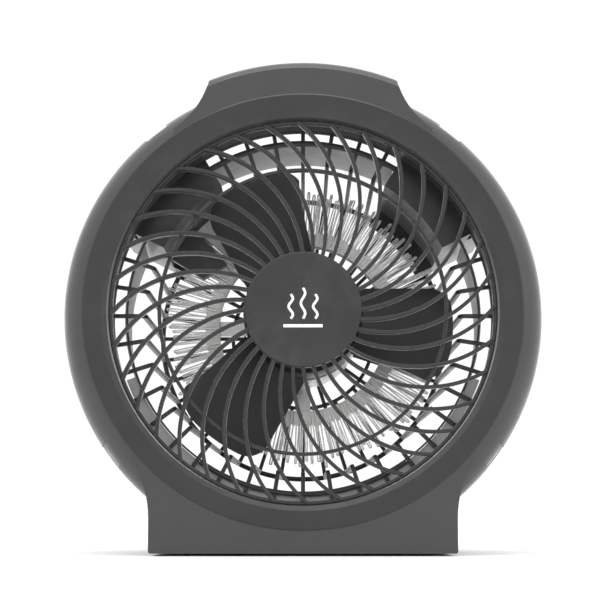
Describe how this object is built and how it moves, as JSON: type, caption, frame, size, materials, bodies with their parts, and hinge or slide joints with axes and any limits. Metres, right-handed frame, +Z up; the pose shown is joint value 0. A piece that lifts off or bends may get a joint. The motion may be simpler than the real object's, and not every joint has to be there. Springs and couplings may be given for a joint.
{
  "type": "fan heater",
  "caption": "Round portable fan heater with a carry handle and pedestal base, a spiral guard, a three-blade rotor, an annular heating element and two rear control knobs.",
  "frame": {"origin": "centre of the bounding box at the surface the feet stand on", "axes": "+Z up, the front guard faces -Y, the fan axis runs along Y"},
  "size_m": [0.3, 0.136, 0.3083],
  "materials": {
    "bezel_plastic": "fine matte ABS, dark grey",
    "guard_plastic": "satin dark grey",
    "cage_plastic": "matte charcoal, heat resistant",
    "blade_plastic": "satin black",
    "knob_plastic": "satin dark grey",
    "shield_steel": "galvanised sheet",
    "mica": "pressed mica board",
    "resistance_wire": "drawn nickel-chromium wire",
    "motor_steel": "zinc-plated sheet and lamination",
    "copper": "enamelled copper winding",
    "bearing_bronze": "sintered bronze",
    "shaft_steel": "ground steel",
    "contact_metal": "tinned brass",
    "switch_plastic": "pale phenolic moulding",
    "screw_steel": "black zinc",
    "rubber": "soft black rubber"
  },
  "bodies": {
    "root": {"front_bezel": "bezel_plastic", "front_guard": "guard_plastic", "rear_shell": "bezel_plastic", "rear_cage": "cage_plastic", "heat_shield": "shield_steel", "selector_housing": "bezel_plastic", "selector_cover": "bezel_plastic", "selector_switch": "switch_plastic", "thermostat_housing": "bezel_plastic", "thermostat_cover": "bezel_plastic", "thermostat_unit": "switch_plastic", "motor_stator": "motor_steel", "motor_coils": "copper", "bearing_front": "bearing_bronze", "bearing_rear": "bearing_bronze", "motor_bracket_front": "motor_steel", "motor_bracket_rear": "motor_steel", "motor_mount": "cage_plastic", "motor_screws": "screw_steel", "heater_ring_front": "mica", "heater_ring_rear": "mica", "heating_wire": "resistance_wire", "heater_brackets": "motor_steel", "terminal_plate": "mica", "terminal_tabs": "contact_metal", "thermal_cutout": "switch_plastic", "thermal_fuse": "contact_metal", "wire_duct": "cage_plastic", "housing_screws": "screw_steel", "cord_bush": "rubber", "rubber_feet": "rubber"},
    "rotor": {"fan_rotor": "blade_plastic", "motor_shaft": "shaft_steel", "rotor_nut": "shaft_steel", "motor_armature": "motor_steel"},
    "selector": {"selector_knob": "knob_plastic", "selector_spindle": "shaft_steel"},
    "thermostat": {"thermostat_knob": "knob_plastic", "thermostat_spindle": "shaft_steel"}
  },
  "joints": [
    {"name": "fan_spin", "type": "hinge", "parent": "root", "child": "rotor", "pos_m": [0, 0, 0.1498], "axis": [0, 1, 0], "continuous": true},
    {"name": "selector_turn", "type": "hinge", "parent": "root", "child": "selector", "pos_m": [-0.08661, 0.05, 0.22847], "axis": [0, 1, 0], "range_deg": [0, 270]},
    {"name": "thermostat_turn", "type": "hinge", "parent": "root", "child": "thermostat", "pos_m": [0.08661, 0.05, 0.22847], "axis": [0, 1, 0], "range_deg": [0, 270]}
  ]
}
